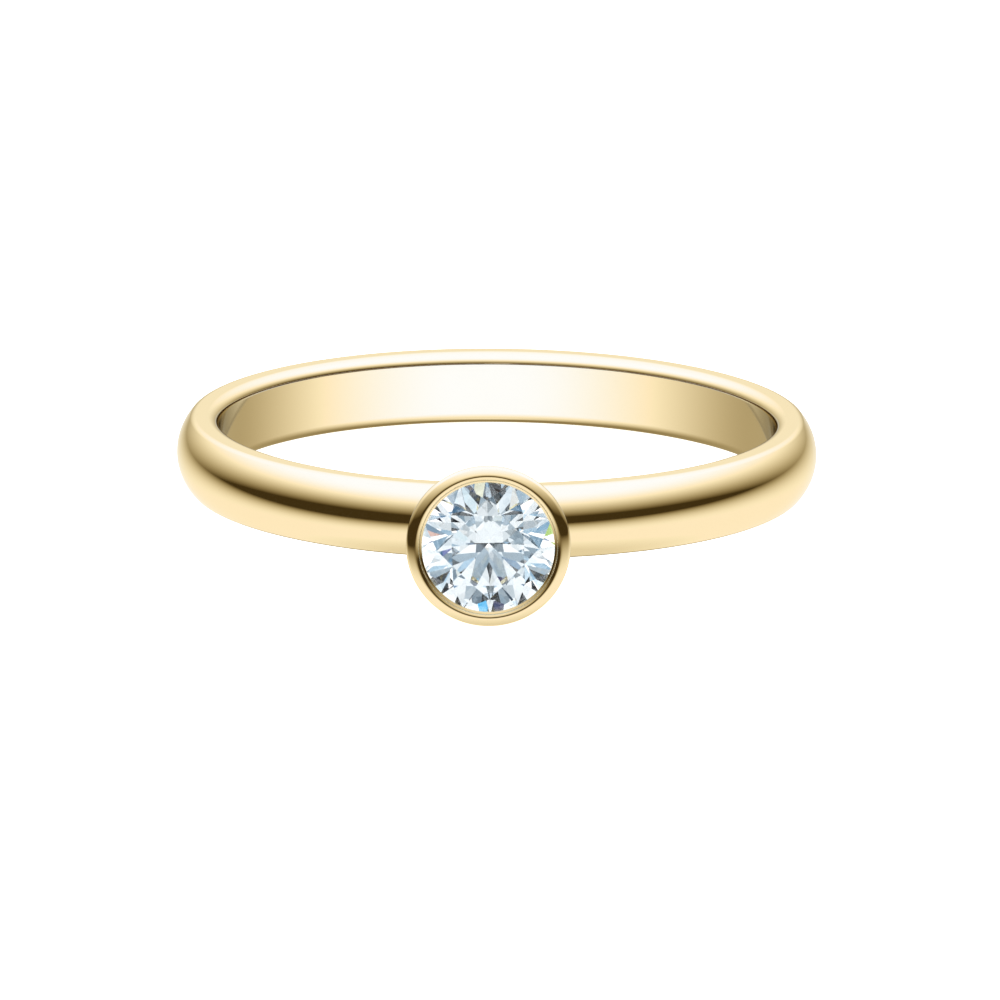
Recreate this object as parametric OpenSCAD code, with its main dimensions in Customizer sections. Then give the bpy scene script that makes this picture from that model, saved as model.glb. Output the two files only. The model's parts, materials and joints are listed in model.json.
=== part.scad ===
// Bezel-set solitaire ring: a half-round gold band, a tapered bezel cup
// soldered to it, and one round brilliant stone held in the cup.
// The ring lies on its side: the finger hole looks up, the bezel points to -Y,
// and the ring rests on the rim of the bezel and on the back edge of the band.

/* [Finger] */
// Diameter of the finger hole
finger_d = 17.2; // [15:0.1:21]

/* [Band] */
// Width of the band along the finger
band_w = 2.28; // [2.1:0.02:2.4]
// Thickness of the band at the middle of its crown
band_t = 1.31; // [1.25:0.01:1.5]
// Radius of the domed outer face, across the band
crown_r = 1.6; // [1.5:0.05:2]
// Radius of the shoulders, between the dome and the sides
shoulder_r = 0.25; // [0.2:0.01:0.3]
// Radius of the softened edges next to the finger
inner_edge_r = 0.36; // [0.2:0.01:0.45]

/* [Bezel] */
// Widest diameter of the bezel, at the rounded edge of its lip
bezel_d = 5.0; // [4.96:0.01:5.1]
// Diameter of the ridge between the lip and the bright bevel
ridge_d = 4.37; // [4.32:0.01:4.45]
// Height of the ridge above the finger
ridge_height = 4.05; // [4:0.05:4.6]
// Slope of the lip at the ridge
ridge_slope = 3; // [0:1:8]
// Radius of the lip beside the ridge
crest_r = 0.26; // [0.2:0.02:0.36]
// Slope at which the crest runs into the broad face of the lip
crest_slope = 22; // [16:1:24]
// Slope at which the broad face runs into the rounded edge
edge_slope = 29; // [26:1:34]
// Radius of the rounded edge
edge_r = 0.165; // [0.12:0.005:0.2]
// Diameter of the opening through which the stone shows
opening_d = 4.0; // [3.96:0.01:4.08]
// Depth of the bright bevel inside the ridge
bevel_depth = 0.07; // [0.05:0.01:0.14]
// Angle at which the outer wall of the cup draws in towards the band
cup_taper = 15.5; // [10:0.5:18]
// Height of the underside of the cup above the finger
cup_base_height = 0.85; // [0.5:0.05:1]
// Radius of the rounded edge round the underside of the cup
cup_base_r = 0.3; // [0.1:0.05:0.4]
// Thickness of the cup wall below the seat of the stone
cup_wall = 0.42; // [0.3:0.02:0.5]
// Width of the ledge that the stone sits on
seat_w = 0.28; // [0.15:0.01:0.35]
// Depth of the hollow below the point of the stone
culet_room = 0.15; // [0.1:0.05:0.25]

/* [Stone] */
// Diameter of the stone
stone_d = 4.2; // [4.16:0.01:4.24]
// Diameter of the table, corner to corner, over that of the stone
table_ratio = 0.56; // [0.53:0.01:0.62]
// Angle of the main crown facets
crown_angle = 32; // [30:0.5:36]
// Angle of the main pavilion facets
pavilion_angle = 41; // [40:0.25:42]
// Length of the star facets, over the way from table to girdle
star_ratio = 0.45; // [0.4:0.05:0.6]
// Length of the lower halves, over the way from girdle to culet
lower_ratio = 0.74; // [0.7:0.01:0.85]
// Thickness of the girdle, over the diameter
girdle_ratio = 0.03; // [0.02:0.005:0.04]
// Angle by which the stone is turned round its own axis in the cup
stone_turn = 2; // [0:1:22]

/* [Fit] */
// Gap between the stone and the metal
setting_gap = 0.03; // [0.02:0.01:0.05]

/* [Hidden] */
$fn = 120;

// Steps that a rounded corner, half of the dome and the three curves of the lip
// are drawn with
corner_steps = 6;
dome_steps = 20;
edge_steps = 8;
face_steps = 3;
crest_steps = 4;

// Symmetry of the brilliant cut
mains = 8;
sector = 360 / mains;

// Band section, as distances from the finger axis and from the middle plane
finger_r = finger_d / 2;
outer_r = finger_r + band_t;
half_w = band_w / 2;
dome_x = outer_r - crown_r;
shoulder_x = dome_x + sqrt(pow(crown_r - shoulder_r, 2) - pow(half_w - shoulder_r, 2));
shoulder_y = half_w - shoulder_r;
dome_angle = atan2(shoulder_y, shoulder_x - dome_x);
inner_edge_x = finger_r + inner_edge_r;
inner_edge_y = half_w - inner_edge_r;

// Bezel section, as radii from its own axis and heights from the finger axis
bezel_r = bezel_d / 2;
ridge_r = ridge_d / 2;
opening_r = opening_d / 2;
ridge_z = finger_r + ridge_height;
bevel_z = ridge_z - bevel_depth;

// Lip, as three curves that run into each other: the face takes up the width
// that the crest and the edge leave
crest_w = crest_r * (sin(crest_slope) - sin(ridge_slope));
edge_w = edge_r * (1 - sin(edge_slope));
face_w = bezel_r - ridge_r - crest_w - edge_w;
face_r = face_w / (sin(edge_slope) - sin(crest_slope));
crest_x = ridge_r - crest_r * sin(ridge_slope);
crest_z = ridge_z - crest_r * cos(ridge_slope);
face_x = crest_x - (face_r - crest_r) * sin(crest_slope);
face_z = crest_z - (face_r - crest_r) * cos(crest_slope);
edge_x = bezel_r - edge_r;
edge_z = face_z + (face_r - edge_r) * cos(edge_slope);

// Wall of the cup, from under the lip down to its underside
wall_x = edge_x + edge_r * cos(cup_taper);
wall_z = edge_z - edge_r * sin(cup_taper);
base_z = finger_r + cup_base_height;
base_corner_z = base_z + cup_base_r;
base_corner_x = wall_x - (wall_z - base_z) * tan(cup_taper)
    - cup_base_r * (1 - sin(cup_taper)) / cos(cup_taper);

// Stone, as heights from the finger axis: its crown lies just under the lip
stone_r = stone_d / 2;
crown_gap = setting_gap / cos(crown_angle);
girdle_top = bevel_z - crown_gap - (stone_r - opening_r) * tan(crown_angle);
girdle_bottom = girdle_top - girdle_ratio * stone_d;
table_r = table_ratio * stone_r;
table_z = girdle_top + (stone_r - table_r) * tan(crown_angle);
table_side = table_r * cos(sector / 2);
star_r = table_side + star_ratio * (stone_r - table_side);
star_z = girdle_top + (stone_r - star_r * cos(sector / 2)) * tan(crown_angle);
lower_r = (1 - lower_ratio) * stone_r;
lower_z = girdle_bottom - (stone_r - lower_r * cos(sector / 2)) * tan(pavilion_angle);
culet_z = girdle_bottom - stone_r * tan(pavilion_angle);

// Pocket for the stone, one gap away from it all round
pocket_r = stone_r + setting_gap;
pocket_top = bevel_z - (pocket_r - opening_r) * tan(crown_angle);
seat_gap = setting_gap / cos(pavilion_angle);
seat_z = girdle_bottom - seat_gap + setting_gap * tan(pavilion_angle);
seat_r = pocket_r - seat_w;
ledge_z = seat_z - seat_w * tan(pavilion_angle);
hollow_z = culet_z - culet_room;
hollow_r = wall_x - (wall_z - hollow_z) * tan(cup_taper) - cup_wall;

// Rest on a flat surface: the ring tips until its side touches with the lip of
// the bezel in front and with the shoulder of the band behind
touch_y = shoulder_x + edge_z;
touch_z = shoulder_y - edge_x;
rest_tilt = asin((edge_r - shoulder_r) / norm([touch_y, touch_z])) - atan2(touch_z, touch_y);
rest_lift = shoulder_x * sin(rest_tilt) + shoulder_y * cos(rest_tilt) + shoulder_r;

// Middle of the tipped ring from front to back, so that Y is centred on it
table_reach = table_r * cos(sector / 2 - stone_turn);
front_reach = table_z * cos(rest_tilt) + table_reach * sin(rest_tilt);
back_reach = dome_x * cos(rest_tilt) + crown_r;
rest_shift = (front_reach - back_reach) / 2;

// Points on an arc, from one angle to another
function arc(centre, radius, from, to, steps) =
    [for (i = [0 : steps])
        let (a = from + (to - from) * i / steps)
        centre + radius * [cos(a), sin(a)]];

// Points on a level ring, the first one turned by start
function level_ring(radius, height, count, start) =
    [for (i = [0 : count - 1])
        let (a = start + i * 360 / count)
        [radius * cos(a), radius * sin(a), height]];

// Outline of the band section, above and below its middle plane
upper_section = concat(
    arc([dome_x, 0], crown_r, 0, dome_angle, dome_steps),
    arc([shoulder_x, shoulder_y], shoulder_r, dome_angle, 90, corner_steps),
    arc([inner_edge_x, inner_edge_y], inner_edge_r, 90, 180, corner_steps));
lower_section = [for (i = [len(upper_section) - 1 : -1 : 1])
    [upper_section[i].x, -upper_section[i].y]];

// Lays the ring, drawn round the Z axis with its bezel to -Y, on its side
module at_rest() {
    translate([0, rest_shift, rest_lift])
        rotate([-rest_tilt, 0, 0])
            children();
}

// Turns what is drawn along Z out to -Y, where the bezel stands
module on_bezel_axis() {
    rotate([90, 0, 0])
        children();
}

module band() {
    rotate_extrude()
        polygon(concat(upper_section, lower_section));
}

module bezel_cup() {
    rotate_extrude()
        polygon(concat(
            [[0, base_z]],
            arc([base_corner_x, base_corner_z], cup_base_r, -90, -cup_taper, corner_steps),
            arc([edge_x, edge_z], edge_r, -cup_taper, 90 - edge_slope, edge_steps),
            arc([face_x, face_z], face_r, 90 - edge_slope, 90 - crest_slope, face_steps),
            arc([crest_x, crest_z], crest_r, 90 - crest_slope, 90 - ridge_slope, crest_steps),
            [
                [opening_r, bevel_z],
                [pocket_r, pocket_top],
                [pocket_r, seat_z],
                [seat_r, ledge_z],
                [hollow_r, hollow_z],
                [0, hollow_z]
            ]));
}

module band_with_bezel() {
    color("#f3dca2")
        at_rest()
            union() {
                band();
                on_bezel_axis()
                    bezel_cup();
            }
}

module brilliant_stone() {
    half = sector / 2;
    points = concat(
        level_ring(table_r, table_z, mains, half),
        level_ring(star_r, star_z, mains, sector),
        level_ring(stone_r, girdle_top, 2 * mains, half),
        level_ring(stone_r, girdle_bottom, 2 * mains, half),
        level_ring(lower_r, lower_z, mains, sector),
        [[0, 0, culet_z]]);
    // Where each ring of points starts in the list
    star = mains;
    top = 2 * mains;
    bottom = 4 * mains;
    lower = 6 * mains;
    culet = 7 * mains;
    table_face = [[for (k = [0 : mains - 1]) mains - 1 - k]];
    main_faces = [for (k = [0 : mains - 1])
        let (before = (k + mains - 1) % mains, m = 2 * k)
        each [
            [k, star + k, top + m, star + before],
            [culet, lower + before, bottom + m, lower + k]
        ]];
    half_faces = [for (k = [0 : mains - 1])
        let (next = (k + 1) % mains, m = 2 * k, after = (m + 2) % (2 * mains))
        each [
            [k, next, star + k],
            [star + k, top + m + 1, top + m],
            [star + k, top + after, top + m + 1],
            [lower + k, bottom + m, bottom + m + 1],
            [lower + k, bottom + m + 1, bottom + after]
        ]];
    girdle_faces = [for (i = [0 : 2 * mains - 1])
        let (j = (i + 1) % (2 * mains))
        [top + i, top + j, bottom + j, bottom + i]];
    color("#dfe8f2")
        at_rest()
            on_bezel_axis()
                rotate([0, 0, stone_turn])
                    polyhedron(points, concat(table_face, main_faces, half_faces, girdle_faces));
}

band_with_bezel();
brilliant_stone();
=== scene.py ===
# %% [markdown]
# A solitaire ring: a half-round band of yellow gold, a tapered cup soldered on it,
# and one round brilliant held by the rounded lip of the cup. The cup is called a
# bezel. The construction model gives the sizes; this script makes the polish and
# the light. Everything starts from the frame, so the first cell loads it.

# %% Load the frame
import json
import math

import bmesh
import bpy
import numpy as np
from mathutils import Matrix, Vector


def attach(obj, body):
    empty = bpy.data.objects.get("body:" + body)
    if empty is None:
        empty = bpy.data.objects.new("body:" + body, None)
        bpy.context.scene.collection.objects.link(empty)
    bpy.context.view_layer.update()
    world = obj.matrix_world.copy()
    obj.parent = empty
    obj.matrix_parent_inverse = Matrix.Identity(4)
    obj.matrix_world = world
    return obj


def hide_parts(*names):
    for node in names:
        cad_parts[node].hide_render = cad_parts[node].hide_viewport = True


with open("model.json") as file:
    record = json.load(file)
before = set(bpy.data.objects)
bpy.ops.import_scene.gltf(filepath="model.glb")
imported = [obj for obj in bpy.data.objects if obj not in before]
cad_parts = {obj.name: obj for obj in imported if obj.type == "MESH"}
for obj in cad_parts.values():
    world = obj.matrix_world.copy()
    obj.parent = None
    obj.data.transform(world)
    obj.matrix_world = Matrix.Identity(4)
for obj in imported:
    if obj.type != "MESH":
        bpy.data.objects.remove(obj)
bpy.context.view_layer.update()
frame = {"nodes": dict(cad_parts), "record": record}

print("nodes:", sorted(frame["nodes"]))

# %% [markdown]
# A few helpers serve the whole script. Paint and metal colours are usually written as
# hex values, which are display colours, while the renderer adds and multiplies light,
# so `linear` turns one into the other. `add` puts one node into a tree: settings are
# the node's own properties, and an input is either a value or the socket it comes
# from. The same function serves shapes and materials. `in_scene` makes an object.

# %% Helpers for colours and nodes
MM = 0.001
WELD = 1e-7   # metres; points closer than this are one point


def linear(hex_colour):
    """A display colour such as #FFFFFF as linear red, green, blue and alpha."""
    channels = [int(hex_colour[i:i + 2], 16) / 255 for i in (1, 3, 5)]
    light = [c / 12.92 if c <= 0.04045 else ((c + 0.055) / 1.055) ** 2.4 for c in channels]
    return (*light, 1.0)


def shown(sockets, name):
    """A socket by its number, or by its name among those that the settings show."""
    if isinstance(name, int):
        return sockets[name]
    return next(s for s in sockets if s.enabled and s.name == name)


def add(tree, kind, inputs=None, **settings):
    """Adds a node of one kind, sets its properties, and fills or links its inputs."""
    node = tree.nodes.new(kind)
    for name, value in settings.items():
        setattr(node, name, value)
    for name, value in (inputs or {}).items():
        for one in value if isinstance(value, list) else [value]:
            if isinstance(one, bpy.types.Node):
                one = next(s for s in one.outputs if s.enabled)
            if isinstance(one, bpy.types.NodeSocket):
                tree.links.new(one, shown(node.inputs, name))
            else:
                shown(node.inputs, name).default_value = one
    return node


def in_scene(name, data):
    """A new object of the scene that shows the given mesh or camera."""
    made = bpy.data.objects.new(name, data)
    bpy.context.scene.collection.objects.link(made)
    return made


print("gold in linear light:", [round(c, 3) for c in linear("#FCE8BA")[:3]])

# %% [markdown]
# The ring lies on its side, tipped a little because its cup is wider than its band.
# The bore mount in the frame says where the finger axis runs. A matrix made from it
# lets every piece be drawn the easy way, round its own upright axis with the cup
# towards -Y, and then laid down where the construction has it.

# %% The ring's own axes
bore = next(m for m in frame["record"]["mounts"] if m["name"] == "finger_bore")
finger_r = bore["dims"]["r_mm"] * MM
across = Vector((1, 0, 0))
finger_axis = Vector(bore["axis"]).normalized()
ring_to_floor = Matrix.Translation(bore["pos_m"]) @ Matrix(
    (across, finger_axis.cross(across), finger_axis)).transposed().to_4x4()
bezel_to_ring = Matrix.Rotation(math.pi / 2, 4, "X")
tilt = math.degrees(finger_axis.angle(Vector((0, 0, 1))))
print(f"finger radius {finger_r / MM:.2f} mm, the ring tips by {tilt:.2f} degrees")

# %% [markdown]
# A camera far away with a long lens keeps circles nearly true, as a catalogue
# photograph of a ring does. The angles were matched to the outline of the ring: the
# camera looks down on the plane of the ring by about 13 degrees, stands one degree to
# the right of the cup, and is rolled by half a degree.

# %% Camera
CAMERA_ELEVATION = math.radians(13.44)
CAMERA_TURN = math.radians(1.05)
CAMERA_ROLL = math.radians(0.496)
CAMERA_DISTANCE = 520 * MM
CAMERA_AIM = Vector((0.1135, 0, -1.5356)) * MM
SENSOR_WIDTH = 36
PIXELS_PER_MM = 32.26
PICTURE_WIDTH = 1000

camera_data = bpy.data.cameras.new("camera")
camera_data.sensor_width = SENSOR_WIDTH
camera_data.lens = PIXELS_PER_MM / MM * CAMERA_DISTANCE * SENSOR_WIDTH / PICTURE_WIDTH
camera_data.clip_start = 0.05
camera_data.clip_end = 20
camera = in_scene("camera", camera_data)
camera.matrix_world = (
    ring_to_floor
    @ Matrix.Rotation(CAMERA_TURN, 4, "Z")
    @ Matrix.Translation(CAMERA_AIM)
    @ Matrix.Rotation(math.pi / 2 - CAMERA_ELEVATION, 4, "X")
    @ Matrix.Rotation(CAMERA_ROLL, 4, "Z")
    @ Matrix.Translation((0, 0, CAMERA_DISTANCE)))
bpy.context.scene.camera = camera
print(f"lens {camera_data.lens:.0f} mm at {CAMERA_DISTANCE} m")

# %% [markdown]
# A turned shape is an outline swept round an axis. The outline of polished metal has
# hardly a sharp corner, so it is written as a row of arcs, and straight stretches
# appear by themselves where one arc ends and the next begins. Each arc has a name, a
# centre (distance from the axis, height), a radius, and the angles it runs between.
# `corner` works out the small arc that rounds the corner between two straight lines.

# %% Arcs of an outline
def arc(name, centre, radius, start, end, steps):
    """One arc of an outline, with its angles in degrees."""
    return dict(name=name, centre=centre, radius=radius,
                start=math.radians(start), sweep=math.radians(end - start), steps=steps)


def corner(name, before, point, after, radius, steps=5):
    """The arc that rounds the corner at a point on the way from before to after."""
    before, point, after = (Vector(p) for p in (before, point, after))
    arriving = (point - before).normalized()
    leaving = (after - point).normalized()
    turn = math.atan2(arriving.x * leaving.y - arriving.y * leaving.x, arriving.dot(leaving))
    side = math.copysign(1, turn)
    inward = Vector((-arriving.y, arriving.x)) * side
    centre = point - arriving * (radius * abs(math.tan(turn / 2))) + inward * radius
    start = math.degrees(math.atan2(-inward.y, -inward.x))
    return arc(name, tuple(centre), radius, start, start + math.degrees(turn), steps)


# %% [markdown]
# The band is a D in section: a dome outside, soft shoulders, and a straight wall
# inside whose edges are rounded off, so that it slides over the knuckle. Jewellers call
# the outside half round. The arcs meet without a corner, because the centres of two
# that touch lie on one line with the point where they meet. The sizes repeat those of
# the construction model, which is what this piece stands for.

# %% Outline of the band
band_w = 2.28 * MM
band_t = 1.31 * MM
crown_r = 1.6 * MM
shoulder_r = 0.25 * MM
inner_edge_r = 0.36 * MM

half_w = band_w / 2
dome_x = finger_r + band_t - crown_r
shoulder_y = half_w - shoulder_r
shoulder_x = dome_x + math.sqrt((crown_r - shoulder_r) ** 2 - shoulder_y ** 2)
dome_angle = math.degrees(math.atan2(shoulder_y, shoulder_x - dome_x))
inner_edge_x = finger_r + inner_edge_r
inner_edge_y = half_w - inner_edge_r
band_outline = [
    arc("Dome", (dome_x, 0), crown_r, -dome_angle, dome_angle, 49),
    arc("Upper shoulder", (shoulder_x, shoulder_y), shoulder_r, dome_angle, 90, 13),
    arc("Upper inner edge", (inner_edge_x, inner_edge_y), inner_edge_r, 90, 180, 17),
    arc("Lower inner edge", (inner_edge_x, -inner_edge_y), inner_edge_r, 180, 270, 17),
    arc("Lower shoulder", (shoulder_x, -shoulder_y), shoulder_r, 270, 360 - dome_angle, 13),
]
print(f"band {band_w / MM:.2f} by {band_t / MM:.2f} mm, dome over {2 * dome_angle:.0f} degrees")

# %% [markdown]
# The cup is turned round its own axis. From the bottom its outline runs up the
# tapered wall, over the lip that was rolled and polished over the stone, down the
# narrow bright bevel to the opening, and back into the pocket that the stone sits in.
# The lip is three arcs: a tight one at the outer edge, a broad face, and a crest that
# nearly levels out at the ridge. Polishing has softened the ridge to a small arc too,
# which touches the crest and the bevel, and even the crisp edges are rounded by two
# hundredths of a millimetre. A graver that cut the bevel bright left one fine groove in
# its middle. Such small arcs draw the thin lines on polished metal. The softened ridge
# and the groove are left out of the construction model.

# %% Outline of the bezel cup
bezel_r = 2.5 * MM
ridge_r = 2.185 * MM
ridge_z = finger_r + 4.05 * MM
ridge_slope = 3
crest_r = 0.26 * MM
crest_slope = 22
edge_slope = 29
edge_r = 0.165 * MM
opening_r = 2.0 * MM
bevel_depth = 0.07 * MM
cup_taper = 15.5
cup_base_height = 0.85 * MM
cup_base_r = 0.3 * MM
cup_wall = 0.42 * MM
seat_w = 0.28 * MM
culet_room = 0.15 * MM
setting_gap = 0.03 * MM
RIDGE_R = 0.13 * MM
EDGE_R = 0.02 * MM
LINE_W = 0.036 * MM
LINE_SHARE = 0.5
LINE_HALF = math.radians(36)

stone_r = 2.1 * MM
crown_angle = math.radians(32)
pavilion_angle = math.radians(41)
girdle_t = 0.03 * 2 * stone_r

slopes = [math.radians(a) for a in (ridge_slope, crest_slope, edge_slope)]
sin_ridge, sin_crest, sin_edge = (math.sin(a) for a in slopes)
cos_ridge, cos_crest, cos_edge = (math.cos(a) for a in slopes)
face_w = bezel_r - ridge_r - crest_r * (sin_crest - sin_ridge) - edge_r * (1 - sin_edge)
face_r = face_w / (sin_edge - sin_crest)
crest_x = ridge_r - crest_r * sin_ridge
crest_z = ridge_z - crest_r * cos_ridge
face_x = crest_x - (face_r - crest_r) * sin_crest
face_z = crest_z - (face_r - crest_r) * cos_crest
edge_x = bezel_r - edge_r
edge_z = face_z + (face_r - edge_r) * cos_edge
bevel_z = ridge_z - bevel_depth
bevel_up = math.pi / 2 + math.atan2(bevel_depth, ridge_r - opening_r)
ridge_run = crest_r - RIDGE_R
ridge_start = bevel_up - math.acos(
    (crest_r * math.sin(bevel_up + math.radians(ridge_slope)) - RIDGE_R) / ridge_run)
ridge_centre = (crest_x + ridge_run * math.cos(ridge_start), crest_z + ridge_run * math.sin(ridge_start))
bevel_mid = Vector((ridge_r, ridge_z)).lerp(Vector((opening_r, bevel_z)), LINE_SHARE)
line_r = LINE_W / 2 / math.sin(LINE_HALF)
off_bevel = Vector((math.cos(bevel_up), math.sin(bevel_up)))
line_centre = bevel_mid + off_bevel * line_r * math.cos(LINE_HALF)
line_middle = math.degrees(bevel_up) - 180
taper = math.radians(cup_taper)
wall_x = edge_x + edge_r * math.cos(taper)
wall_z = edge_z - edge_r * math.sin(taper)
base_z = finger_r + cup_base_height
base_corner_x = (wall_x - (wall_z - base_z) * math.tan(taper)
                 - cup_base_r * (1 - math.sin(taper)) / math.cos(taper))

girdle_top = (bevel_z - setting_gap / math.cos(crown_angle)
              - (stone_r - opening_r) * math.tan(crown_angle))
girdle_bottom = girdle_top - girdle_t
culet_z = girdle_bottom - stone_r * math.tan(pavilion_angle)

pocket_r = stone_r + setting_gap
pocket_top = bevel_z - (pocket_r - opening_r) * math.tan(crown_angle)
seat_z = girdle_bottom - setting_gap * (1 / math.cos(pavilion_angle) - math.tan(pavilion_angle))
seat_r = pocket_r - seat_w
ledge_z = seat_z - seat_w * math.tan(pavilion_angle)
hollow_z = culet_z - culet_room
hollow_r = wall_x - (wall_z - hollow_z) * math.tan(taper) - cup_wall

ridge = (ridge_r, ridge_z)
opening = (opening_r, bevel_z)
pocket = (pocket_r, pocket_top)
seat = (pocket_r, seat_z)
ledge = (seat_r, ledge_z)
hollow = (hollow_r, hollow_z)
bezel_outline = [
    arc("Base middle", (0, base_z), 0, 0, 0, 2),
    arc("Base edge", (base_corner_x, base_z + cup_base_r), cup_base_r, -90, -cup_taper, 13),
    arc("Lip edge", (edge_x, edge_z), edge_r, -cup_taper, 90 - edge_slope, 25),
    arc("Lip face", (face_x, face_z), face_r, 90 - edge_slope, 90 - crest_slope, 9),
    arc("Lip crest", (crest_x, crest_z), crest_r, 90 - crest_slope, math.degrees(ridge_start), 9),
    arc("Ridge", ridge_centre, RIDGE_R, math.degrees(ridge_start), math.degrees(bevel_up), 9),
    arc("Bevel line", tuple(line_centre), line_r, line_middle + math.degrees(LINE_HALF),
        line_middle - math.degrees(LINE_HALF), 7),
    corner("Opening", ridge, opening, pocket, EDGE_R / 2),
    corner("Pocket", opening, pocket, seat, EDGE_R / 2, 3),
    corner("Seat", pocket, seat, ledge, EDGE_R / 2, 3),
    corner("Ledge", seat, ledge, hollow, EDGE_R, 3),
    corner("Hollow", ledge, hollow, (0, hollow_z), 4 * EDGE_R, 5),
    arc("Hollow middle", (0, hollow_z), 0, 0, 0, 2),
]
print(f"bezel {2 * bezel_r / MM:.2f} mm wide, lip face radius {face_r / MM:.2f} mm")

# %% [markdown]
# The same Geometry Nodes tree turns both outlines. Each arc of the outline is an Arc
# node with named inputs. Their points are put in one row and become one closed curve,
# and Curve to Mesh sweeps it round a circle. A lathe or the Screw modifier would turn
# the outline as well, but here every size stays an input that can be changed later.
# The circle is small and its radius is taken off the outline's distances, and because
# the sweep draws heights downwards, the result is turned over.

# %% Tree that turns an outline
PATH_R = 1 * MM
ARC_INPUTS = {"steps": "Resolution", "radius": "Radius", "start": "Start Angle", "sweep": "Sweep Angle"}


def group_input(tree, name, kind):
    """Adds a named input to a tree and returns its socket on the Group Input node."""
    tree.interface.new_socket(name, in_out="INPUT", socket_type=kind)
    source = tree.nodes.get("Group Input") or tree.nodes.new("NodeGroupInput")
    return source.outputs[name]


def turning_tree(name, outline):
    """A tree that sweeps an outline of arcs round the Z axis."""
    tree = bpy.data.node_groups.new(name, "GeometryNodeTree")
    tree.interface.new_socket("Geometry", in_out="OUTPUT", socket_type="NodeSocketGeometry")
    rows = []
    for row in outline:
        sizes = {}
        for field, socket in ARC_INPUTS.items():
            kind = "NodeSocketInt" if field == "steps" else "NodeSocketFloat"
            sizes[socket] = group_input(tree, f"{row['name']} {field}", kind)
        drawn = add(tree, "GeometryNodeCurveArc", sizes)
        placed = add(tree, "GeometryNodeTransform", {
            "Geometry": drawn.outputs["Curve"],
            "Translation": group_input(tree, row["name"] + " centre", "NodeSocketVector")})
        rows.append(placed.outputs["Geometry"])
    joined = add(tree, "GeometryNodeJoinGeometry", {"Geometry": rows[::-1]})
    points = add(tree, "GeometryNodeCurveToPoints", {"Curve": joined.outputs[0]}, mode="EVALUATED")
    one = add(tree, "GeometryNodePointsToCurves", {"Points": points.outputs["Points"]})
    closed = add(tree, "GeometryNodeSetSplineCyclic", {
        "Geometry": one.outputs["Curves"], "Cyclic": True})
    path = add(tree, "GeometryNodeCurvePrimitiveCircle", {
        "Resolution": group_input(tree, "Turns", "NodeSocketInt"), "Radius": PATH_R})
    swept = add(tree, "GeometryNodeCurveToMesh", {
        "Curve": path.outputs["Curve"], "Profile Curve": closed.outputs["Geometry"]})
    turned_over = add(tree, "GeometryNodeTransform", {
        "Geometry": swept.outputs["Mesh"], "Rotation": (math.pi, 0, 0)})
    merged = add(tree, "GeometryNodeMergeByDistance", {
        "Geometry": turned_over.outputs["Geometry"], "Distance": WELD})
    real = add(tree, "GeometryNodeRealizeInstances", {"Geometry": merged.outputs["Geometry"]})
    painted = add(tree, "GeometryNodeSetMaterial", {
        "Geometry": real.outputs["Geometry"],
        "Material": group_input(tree, "Material", "NodeSocketMaterial")})
    add(tree, "NodeGroupOutput", {"Geometry": painted.outputs["Geometry"]})
    return tree


def outline_values(outline):
    """The inputs of the turning tree for one outline."""
    values = {}
    for row in outline:
        for field in ARC_INPUTS:
            values[f"{row['name']} {field}"] = row[field]
        values[row["name"] + " centre"] = (row["centre"][0] - PATH_R, row["centre"][1], 0.0)
    return values


def taken_from(maker):
    """The plain mesh that an object's modifiers make. The object itself is removed."""
    graph = bpy.context.evaluated_depsgraph_get()
    mesh = bpy.data.meshes.new_from_object(maker.evaluated_get(graph))
    bpy.data.objects.remove(maker)
    return mesh


def made_by(tree, values, start_mesh=None):
    """Runs a tree on an object of its own and returns the plain mesh that it makes."""
    maker = in_scene(tree.name, start_mesh or bpy.data.meshes.new(tree.name))
    modifier = maker.modifiers.new("tree", "NODES")
    modifier.node_group = tree
    for item in tree.interface.items_tree:
        if item.in_out == "INPUT" and item.name in values:
            modifier[item.identifier] = values[item.name]
    return taken_from(maker)


print("arcs:", len(band_outline), "in the band,", len(bezel_outline), "in the cup")

# %% [markdown]
# The real ring is cast or soldered, so band and cup are one piece of metal with a
# clean line where they meet. A Boolean union gives that line. It also leaves long
# thin faces beside it, and shading averaged over those would pinch the reflections.
# The outlines are known exactly, so each face corner gets the true normal of the arc
# or line that its face was turned from.

# %% Arcs and lines of an outline
def outline_pieces(outline):
    """Arcs and the straight stretches between them, in (distance, height)."""
    def at(row, angle):
        return np.array(row["centre"]) + row["radius"] * np.array((math.cos(angle), math.sin(angle)))

    pieces = []
    for row, following in zip(outline, outline[1:] + outline[:1]):
        end = at(row, row["start"] + row["sweep"])
        begin = at(following, following["start"])
        if row["radius"] > 0:
            pieces.append(("arc", row, at(row, row["start"]), end))
        if np.linalg.norm(begin - end) > WELD:
            pieces.append(("line", row, end, begin))
    return pieces


def piece_distance(piece, points):
    """How far points in (distance, height) lie from one arc or line."""
    kind, row, begin, end = piece
    if kind == "line":
        along = end - begin
        share = np.clip((points - begin) @ along / (along @ along), 0, 1)
        return np.linalg.norm(points - begin - share[:, None] * along, axis=1)
    offset = points - np.array(row["centre"])
    angle = np.arctan2(offset[:, 1], offset[:, 0])
    turn = (angle - row["start"]) * np.sign(row["sweep"]) % (2 * math.pi)
    inside = turn <= abs(row["sweep"]) + 1e-4
    off_arc = np.abs(np.linalg.norm(offset, axis=1) - row["radius"])
    off_ends = np.minimum(np.linalg.norm(points - begin, axis=1), np.linalg.norm(points - end, axis=1))
    return np.where(inside, off_arc, off_ends)


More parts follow.
